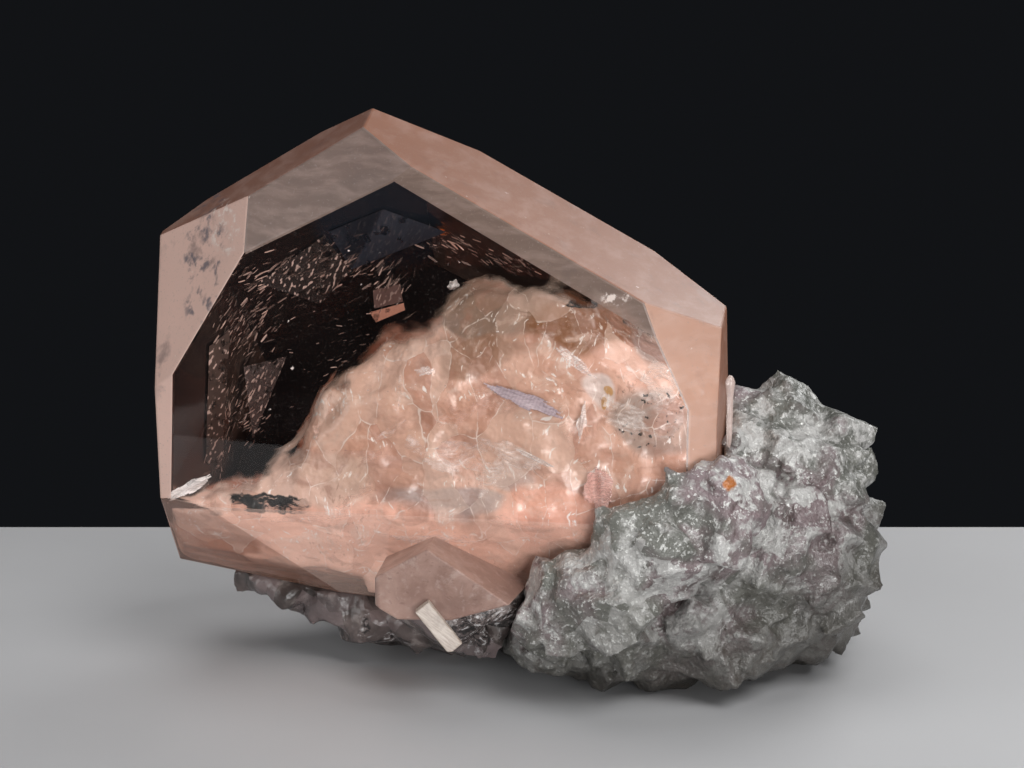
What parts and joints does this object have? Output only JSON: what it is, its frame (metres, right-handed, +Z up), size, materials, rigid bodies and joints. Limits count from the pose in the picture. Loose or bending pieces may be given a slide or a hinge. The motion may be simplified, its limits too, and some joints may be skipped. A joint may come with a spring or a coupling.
{
  "type": "mineral specimen",
  "caption": "Large tabular pink beryl crystal standing on edge in a lump of white cleavelandite with grey quartz, cut flat underneath.",
  "frame": {"origin": "on the flat cut under the cleavelandite, on which the specimen rests", "axes": "+Z up; -Y towards the viewer, who looks at the big crystal's flat front face; +X to the viewer's right, along the specimen's longest side"},
  "size_m": [0.1023, 0.0626, 0.0807],
  "materials": {
    "pink_beryl": "polished",
    "peach_cloud": "satin",
    "pale_beryl": "satin",
    "cleavelandite": "satin",
    "quartz": "gloss",
    "blade": "satin",
    "clear_rod": "gloss"
  },
  "bodies": {
    "root": {"morganite_crystal": "pink_beryl", "cloudy_heart": "peach_cloud", "small_morganite_crystal": "pale_beryl", "cleavelandite_matrix": "cleavelandite", "quartz_base": "quartz", "cleavelandite_blade": "blade", "needle_crystal": "clear_rod"}
  },
  "joints": []
}
